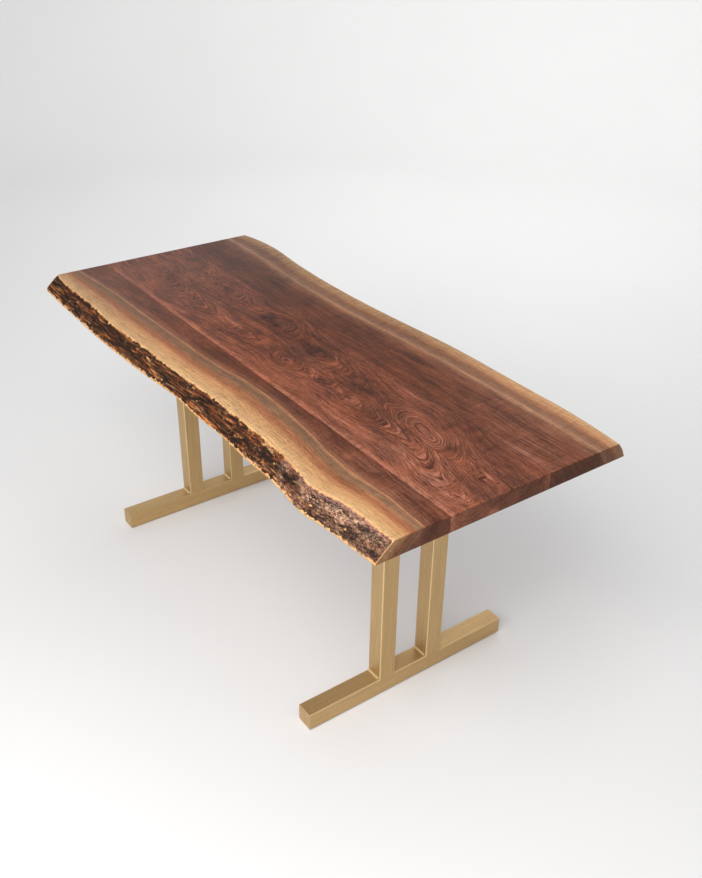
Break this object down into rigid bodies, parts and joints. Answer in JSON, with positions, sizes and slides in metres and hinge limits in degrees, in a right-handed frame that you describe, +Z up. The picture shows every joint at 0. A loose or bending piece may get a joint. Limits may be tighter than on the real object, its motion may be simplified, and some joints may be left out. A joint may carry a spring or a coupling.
{
  "type": "live edge table",
  "caption": "Long walnut table: a slab top glued up from wide boards with two live edges, one with bark, bolted to two welded square-tube bases.",
  "frame": {"origin": "on the floor, under the centre of the table", "axes": "+X along the table's length, to the right with the bark edge in front; +Y from the bark edge to the bare live edge; +Z up"},
  "size_m": [1.664, 0.755, 0.762],
  "materials": {
    "walnut": "satin oiled walnut, reddish-brown heartwood with pale sapwood along the live edges",
    "bark": "rough dark bark with orange-brown inner bark showing",
    "beech": "plain compressed beech",
    "gold_metal": "steel tube with a satin gold finish, fine brushing along each tube",
    "felt": "dense felt",
    "black_steel": "black oxide",
    "zinc_steel": "zinc plated"
  },
  "bodies": {
    "root": {"front_live_edge_board": "walnut", "bark_strip": "bark", "front_centre_board": "walnut", "rear_centre_board": "walnut", "rear_live_edge_board": "walnut", "front_joint_tenons": "beech", "centre_joint_tenons": "beech", "rear_joint_tenons": "beech", "left_foot_bar": "gold_metal", "left_front_end_cap": "gold_metal", "left_rear_end_cap": "gold_metal", "left_front_post": "gold_metal", "left_rear_post": "gold_metal", "left_mounting_plate": "gold_metal", "left_base_welds": "gold_metal", "left_floor_pads": "felt", "left_plate_bolts": "black_steel", "left_plate_washers": "black_steel", "left_threaded_inserts": "zinc_steel", "right_foot_bar": "gold_metal", "right_front_end_cap": "gold_metal", "right_rear_end_cap": "gold_metal", "right_front_post": "gold_metal", "right_rear_post": "gold_metal", "right_mounting_plate": "gold_metal", "right_base_welds": "gold_metal", "right_floor_pads": "felt", "right_plate_bolts": "black_steel", "right_plate_washers": "black_steel", "right_threaded_inserts": "zinc_steel"}
  },
  "joints": []
}
